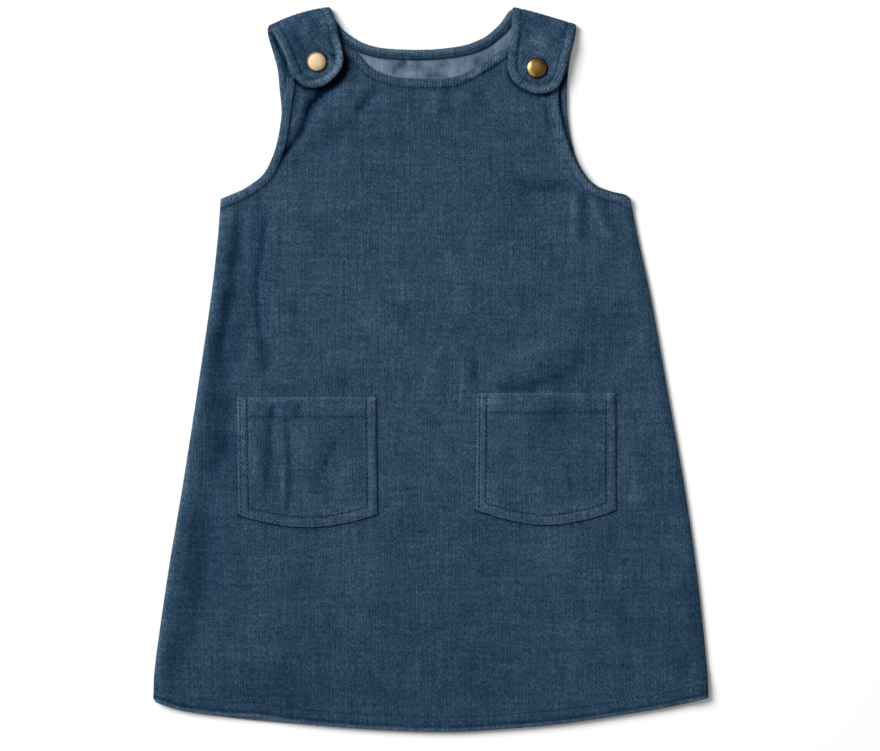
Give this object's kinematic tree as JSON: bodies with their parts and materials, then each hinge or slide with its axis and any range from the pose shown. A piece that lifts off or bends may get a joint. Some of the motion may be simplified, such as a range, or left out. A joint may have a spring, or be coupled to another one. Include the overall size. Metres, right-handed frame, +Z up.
{
  "type": "pinafore dress",
  "caption": "Child's corduroy pinafore dress laid flat, with an A-line skirt, straps that fold over the shoulders and snap to the front, and patch pockets.",
  "frame": {"origin": "on the floor under the middle of the dress's box", "axes": "+X to the right as the front is seen, +Y from hem to shoulders, +Z up out of the front, with the back on the floor"},
  "size_m": [0.416, 0.5437, 0.0131],
  "materials": {
    "corduroy": "fine-wale cotton corduroy, slate blue, soft nap",
    "corduroy_facing": "the same corduroy cut on the bias",
    "snap_pale_brass": "satin pale brass",
    "snap_antique_brass": "satin antique brass"
  },
  "bodies": {
    "root": {"front_panel": "corduroy", "back_panel": "corduroy", "neck_facing": "corduroy_facing", "armhole_facing_left": "corduroy_facing", "armhole_facing_right": "corduroy_facing", "pocket_left": "corduroy", "pocket_right": "corduroy", "snap_left": "snap_pale_brass", "snap_right": "snap_antique_brass"}
  },
  "joints": []
}
